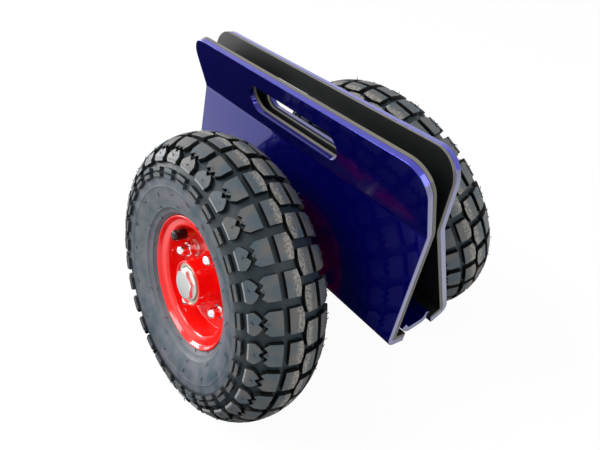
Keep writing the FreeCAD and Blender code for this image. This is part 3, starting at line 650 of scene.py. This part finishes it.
def tyre_rubber():
    """Grey tyre rubber, moulded and a little used: blue-grey and warm grey patches with a soft sheen, a crown
    worn to a sandy speckle, a pale painted highlight on the shoulder bevel, blue-grey groove floors and near
    black block walls darkened as painted shade, and a paler painted sheen on the sidewall beside the rim.
    Grit on a real tread is about 0.5 mm and too fine to show, so it is drawn coarser."""
    material, tree, shader = finish("grey_tyre_rubber", Roughness=0.5, Specular_IOR_Level=0.3)
    shade = {name: linear(colour) for name, colour in TYRE_SHADES.items()}
    colour_mix = {"data_type": "RGBA"}
    mixed = 2
    grit = grained(tree, shader, TYRE_GRIT_MM, 0.15, Detail=4.0, Roughness=0.75)
    place = add(tree, "ShaderNodeTexCoord")
    cloud = add(
        tree, "ShaderNodeTexNoise", inputs={"Scale": 1 / (TYRE_CLOUD_MM * MM), "Detail": 3.0},
        links={"Vector": (place, "Object")},
    )
    patchy = add(
        tree, "ShaderNodeMapRange", inputs={"From Min": 0.35, "From Max": 0.65},
        links={"Value": (cloud, "Fac")},
    )
    raised = add(tree, "ShaderNodeAttribute", {"attribute_name": "raised"})
    across = add(tree, "ShaderNodeAttribute", {"attribute_name": "across"})
    band = {}
    for name, (start, end, first, last) in COLOUR_BANDS.items():
        band[name] = add(
            tree, "ShaderNodeMapRange",
            inputs={"From Min": start, "From Max": end, "To Min": first, "To Max": last},
            links={"Value": (across, "Fac")},
        )
    speckle = add(
        tree, "ShaderNodeMath", {"operation": "MULTIPLY"},
        links={0: (band["crown"], "Result"), 1: (grit, "Fac")},
    )
    worn = add(
        tree, "ShaderNodeMapRange", inputs={"From Min": 0.4, "From Max": 0.6},
        links={"Value": (speckle, "Value")},
    )
    bevel = add(
        tree, "ShaderNodeMath", {"operation": "MULTIPLY"},
        links={0: (band["bevel"], "Result"), 1: (band["bevel_foot"], "Result")},
    )

    # Block tops, with the worn crown and then the bevel's pale painted highlight laid over them
    tops = add(
        tree, "ShaderNodeMix", colour_mix, {"A": shade["cool top"], "B": shade["warm top"]},
        {"Factor": (patchy, "Result")},
    )
    for cover, factor in (("worn crown", (worn, "Result")), ("bevel", (bevel, "Value"))):
        tops = add(
            tree, "ShaderNodeMix", colour_mix, {"B": shade[cover]}, {"Factor": factor, "A": (tops, mixed)},
        )

    # Groove floors and block walls by their height, darkened as painted shade, with paler walls and less
    # painted shade on the ribs
    height = add(
        tree, "ShaderNodeMapRange", inputs={"From Max": GROOVE_DEPTH}, links={"Value": (raised, "Fac")},
    )
    low = add(tree, "ShaderNodeValToRGB", links={"Fac": (height, "Result")})
    floor_end, wall_start = low.color_ramp.elements
    floor_end.position, floor_end.color = 0.012, shade["groove floor"]
    wall_start.position, wall_start.color = 0.03, shade["block wall"]
    walls = add(
        tree, "ShaderNodeMix", colour_mix, {"B": shade["rib wall"]},
        {"Factor": (band["ribs"], "Result"), "A": (low, "Color")},
    )
    top = add(
        tree, "ShaderNodeMapRange", inputs={"From Min": GROOVE_DEPTH - 0.35, "From Max": GROOVE_DEPTH - 0.05},
        links={"Value": (raised, "Fac")},
    )
    tread = add(
        tree, "ShaderNodeMix", colour_mix,
        links={"Factor": (top, "Result"), "A": (walls, mixed), "B": (tops, mixed)},
    )

    # Sidewall, paler beside the rim as a painted sheen
    side = add(
        tree, "ShaderNodeMix", colour_mix, {"A": shade["cool sidewall"], "B": shade["warm sidewall"]},
        {"Factor": (patchy, "Result")},
    )
    side = add(
        tree, "ShaderNodeMix", colour_mix, {"B": shade["sidewall painted sheen"]},
        {"Factor": (band["beside_rim"], "Result"), "A": (side, mixed)},
    )
    whole = add(
        tree, "ShaderNodeMix", colour_mix,
        links={"Factor": (band["sidewall"], "Result"), "A": (tread, mixed), "B": (side, mixed)},
    )
    tree.links.new(whole.outputs[mixed], shader.inputs["Base Color"])
    return material


finishes = {
    # Navy powder coat with fine flake: glossy and deep, with paler blue and grey painted on its cut edges as
    # painted highlight
    "frame_paint": painted_steel(
        "navy_gloss_powder_coat", "#050578", roughness=0.2, peel_mm=2.2, flake=0.7,
        edge_highlight_colours=("#3C3CB0", "#6C6E92"),
    ),
    # Red enamel on the pressed rims: bright and clean, with wide soft highlights in the bends
    "rim_paint": painted_steel("red_gloss_enamel", "#F7120E", roughness=0.25, peel_mm=3.0),
    # Solid black lining rubber: almost no shine, with a grey painted highlight where the sheet is cut
    "black_rubber": moulded(
        "black_lining_rubber", "#0A0C0C", roughness=0.5, grain_mm=0.7, grain_height_mm=0.1,
        edge_highlight_colours=("#716E66", "#5E5C56"), shine=0.3,
    ),
    # Moulded lip seals: smooth tan brown with an oily shine
    "seal_rubber": moulded(
        "brown_bearing_seal", "#8E6A38", roughness=0.35, grain_mm=0.7, grain_height_mm=0.05
    ),
    # Butyl inner tube: soft black with a faint bloom
    "tube_rubber": moulded("black_butyl_tube", "#1A1A1C", roughness=0.5, grain_mm=1.0, grain_height_mm=0.05),
    # Hard moulded valve cap: black with one small sharp highlight
    "cap_plastic": moulded(
        "black_moulded_cap", "#0A0D0C", roughness=0.22, grain_mm=1.0, grain_height_mm=0.03
    ),
    # Zinc plated bolts, washers and spacers: cool and pale, with blurred reflections
    "zinc_plate": bright_metal("bright_zinc_plate", "#F1F5F3", roughness=0.3, cloud_mm=1.5),
    # Nickel plated domed nuts: nearly a mirror, with dark and white streaks
    "chrome_plate": bright_metal("polished_nickel_plate", "#EBEDEE", roughness=0.14, cloud_mm=2.0),
    # Ground bearing rings and balls: slightly warm satin steel
    "bearing_steel": bright_metal("ground_bearing_steel", "#DBDBCE", roughness=0.34, cloud_mm=2.0),
    # Turned brass valve stem: clean yellow with soft reflections
    "brass": bright_metal("turned_brass", "#C8A04A", roughness=0.25, cloud_mm=1.5),
    # Tyre rubber: grey, patchy and worn to a speckle along the crown
    "grey_tyre": tyre_rubber(),
}

slot_of = {}
for name, node in nodes.items():
    for place in node.material_slots:
        slot_of[name] = place.material.name.split(".")[0]
        place.material = finishes[slot_of[name]]


# Placing pieces on the bodies


def place_on_axle(piece, side):
    """Moves a wheel piece made about the wheel's middle plane, its outboard side at +y, onto its axle."""
    joint = pivots[side + "_wheel_spin"]
    outboard = Vector(joint["axis"]).normalized()
    along = Vector((1 if side == "left" else -1, 0, 0))
    turn = Matrix((along, outboard, along.cross(outboard))).transposed().to_4x4()
    piece.data.transform(Matrix.Translation(Vector(joint["pos_m"])) @ turn)


def on_both_wheels(piece, name, body, finish, *replaced):
    """Copies a finished wheel piece to both wheels in place of the CAD nodes."""
    piece.data.materials.clear()
    piece.data.materials.append(finishes[finish])
    for side in ("right", "left"):
        own = copied(piece)
        own.name = side + "_" + name
        place_on_axle(own, side)
        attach(own, side + "_" + body)
        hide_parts(*[side + "_" + node for node in replaced])
    bpy.data.objects.remove(piece)


def softened(node_name, width, segments=2, edge_side=None, slot_edges=True):
    """Copy of a pressed or cut CAD piece with its sharp edges rounded over, and its cut edges marked."""
    node = nodes[node_name]
    own = copied(node)
    own.name = node_name + "_rounded"
    select_only(own)
    bpy.ops.mesh.customdata_custom_splitnormals_clear()
    bpy.ops.object.mode_set(mode="EDIT")
    bpy.ops.mesh.select_all(action="SELECT")
    bpy.ops.mesh.remove_doubles(threshold=MERGE_GAP * MM)
    bpy.ops.mesh.dissolve_limited(angle_limit=math.radians(FLAT_ANGLE))
    bpy.ops.object.mode_set(mode="OBJECT")
    edge = own.modifiers.new("rounding", "BEVEL")
    edge.width = width * MM
    edge.segments = segments
    edge.limit_method = "ANGLE"
    edge.angle_limit = math.radians(SHARP_ANGLE)
    apply_modifiers(own)
    smooth(own, SMOOTH_ANGLE)
    own.modifiers.new("flats", "WEIGHTED_NORMAL").keep_sharp = True
    apply_modifiers(own)
    if edge_side is not None:
        mark_cut_edges(own, Vector((0, FLARE_LEAN * edge_side, 1)).normalized(), slot_edges)
    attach(own, body_of(node)[0])
    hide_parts(node_name)


def mark_cut_edges(piece, up_flare, slot_edges):
    """Marks the faces at the ends, along the top edge and, where asked, round the slot of a jaw's sheet."""
    mesh = piece.data
    marks = []
    for face in mesh.polygons:
        round_slot = abs(face.center.x) < SLOT_END and face.center.z < SLOT_TOP
        at_top = face.center.z > FLARE_START and abs(face.normal.dot(up_flare)) > FACING
        at_end = abs(face.normal.x) > FACING
        mark = TOP_MARK if at_top else END_MARK if at_end else 0.0
        marks.append(0.0 if round_slot and not slot_edges else mark)
    edge = mesh.attributes.new("cut_edge", "FLOAT", "FACE")
    edge.data.foreach_set("value", marks)


on_both_wheels(build_tyre(), "treaded_tyre", "wheel", "grey_tyre", "tyre")
outer = rim_half()
inner = mirrored_rim(outer)
drill_valve_hole(outer)
on_both_wheels(outer, "rim_outboard_half", "wheel", "rim_paint", "rim_outer")
on_both_wheels(inner, "rim_inboard_half", "wheel", "rim_paint", "rim_inner")

for side, outboard in (("right_", -1), ("left_", 1)):
    softened(side + "plate", width=0.8, segments=3, edge_side=outboard, slot_edges=False)
    softened(side + "lining", width=0.5, edge_side=outboard)
    softened(side + "axle_arm", width=0.5)
    softened(side + "axle_block", width=0.4)
    softened(side + "gusset", width=0.6)
    softened(side + "axle_bolt", width=0.4)
    softened(side + "axle_washer", width=0.25)
    softened(side + "valve_cap", width=0.6, segments=3)
softened("floor_tray", width=0.7, edge_side=0)


# Floor, light and camera


def white_paper():
    """Matt white paper under the dolly: bright to the eye, with the soft shadows left on it. In the dolly's
    gloss it shows a painted shade, dark along a strip below and behind, and a little brighter than white
    beyond, so that paint and metal keep their depth."""
    paper = bpy.data.materials.new("white_paper")
    paper.use_nodes = True
    tree = paper.node_tree
    tree.nodes.clear()
    ray = add(tree, "ShaderNodeLightPath")
    matt = add(tree, "ShaderNodeBsdfDiffuse", inputs={"Color": linear("#F4F4F4")})
    glow = add(tree, "ShaderNodeEmission", inputs={"Color": (1, 1, 1, 1), "Strength": 1.02})
    seen = add(tree, "ShaderNodeMath", {"operation": "MULTIPLY"}, {1: 0.92}, {0: (ray, "Is Camera Ray")})
    plain = add(
        tree, "ShaderNodeMixShader", links={0: (seen, "Value"), 1: (matt, "BSDF"), 2: (glow, "Emission")},
    )
    here = add(tree, "ShaderNodeNewGeometry")
    reach = add(tree, "ShaderNodeSeparateXYZ", links={"Vector": (here, "Position")})
    beside = add(tree, "ShaderNodeMath", {"operation": "ABSOLUTE"}, links={0: (reach, "Y")})
    wide, long = [
        add(
            tree, "ShaderNodeMapRange",
            inputs={"From Min": start, "From Max": end, "To Min": 1.0, "To Max": 0.0},
            links={"Value": source},
        )
        for (start, end), source in ((STRIP_HALF_WIDTH, (beside, "Value")), (STRIP_END, (reach, "X")))
    ]
    # The strip where the paper's reflection is painted dark, as painted shade
    strip = add(
        tree, "ShaderNodeMath", {"operation": "MULTIPLY"}, links={0: (wide, "Result"), 1: (long, "Result")},
    )
    level = add(
        tree, "ShaderNodeMapRange", inputs={"To Min": 1.1, "To Max": 0.01}, links={"Value": (strip, "Value")},
    )
    image = add(tree, "ShaderNodeEmission", links={"Strength": (level, "Result")})
    surface = add(
        tree, "ShaderNodeMixShader",
        links={0: (ray, "Is Glossy Ray"), 1: (plain, "Shader"), 2: (image, "Emission")},
    )
    add(tree, "ShaderNodeOutputMaterial", links={"Surface": (surface, "Shader")})
    return paper


bpy.ops.object.select_all(action="DESELECT")
bpy.ops.mesh.primitive_plane_add(size=6)
floor = bpy.context.object
floor.name = "floor"
floor.data.materials.append(white_paper())

# White all round, as bright to the camera and in what shines, and dimmer as a light on the dolly
world = bpy.data.worlds.new("studio")
bpy.context.scene.world = world
world.use_nodes = True
tree = world.node_tree
sky = tree.nodes["Background"]
sky.inputs["Color"].default_value = (1, 1, 1, 1)
ray = add(tree, "ShaderNodeLightPath")
seen = add(
    tree, "ShaderNodeMath", {"operation": "MAXIMUM"},
    links={0: (ray, "Is Camera Ray"), 1: (ray, "Is Glossy Ray")},
)
level = add(
    tree, "ShaderNodeMapRange", inputs={"To Min": 0.44, "To Max": 1.0}, links={"Value": (seen, "Value")},
)
tree.links.new(level.outputs["Result"], sky.inputs["Strength"])


def softbox(name, place, target, size, watts):
    light = bpy.data.lights.new(name, "AREA")
    light.shape = "RECTANGLE"
    light.size, light.size_y = size
    light.energy = watts
    lamp = bpy.data.objects.new(name, light)
    bpy.context.collection.objects.link(lamp)
    lamp.location = place
    lamp.rotation_euler = (Vector(target) - Vector(place)).to_track_quat("-Z", "Y").to_euler()


softbox("key", place=(-0.5, -0.9, 1.3), target=(0, 0, 0.12), size=(0.9, 0.7), watts=17)
softbox("side", place=(-1.4, -0.45, 0.4), target=(0, -0.1, 0.12), size=(0.6, 0.6), watts=14)
softbox("fill", place=(1.2, 0.4, 0.9), target=(0, 0, 0.12), size=(0.8, 0.8), watts=7)

camera = bpy.data.cameras.new("photo_camera")
camera.lens = FOCAL_PIXELS * SENSOR_WIDTH / PHOTO_SIZE[0]
camera.shift_x = (PHOTO_SIZE[0] / 2 - PHOTO_CENTRE[0]) / PHOTO_SIZE[0]
camera.shift_y = (PHOTO_CENTRE[1] - PHOTO_SIZE[1] / 2) / PHOTO_SIZE[0]
camera.clip_start = 0.01
stand = bpy.data.objects.new("photo_camera", camera)
bpy.context.collection.objects.link(stand)
azimuth, elevation, roll = (math.radians(a) for a in CAMERA_TURN)
back = Vector((
    math.sin(azimuth) * math.cos(elevation), -math.cos(azimuth) * math.cos(elevation), math.sin(elevation)
))
level_right = Vector((math.cos(azimuth), math.sin(azimuth), 0))
level_up = back.cross(level_right)
right = math.cos(roll) * level_right + math.sin(roll) * level_up
up = back.cross(right)
turned = Matrix((right, up, back)).transposed().to_4x4()
stand.matrix_world = Matrix.Translation(CAMERA_PLACE) @ turned
bpy.context.scene.camera = stand
bpy.context.scene.view_settings.view_transform = "Standard"
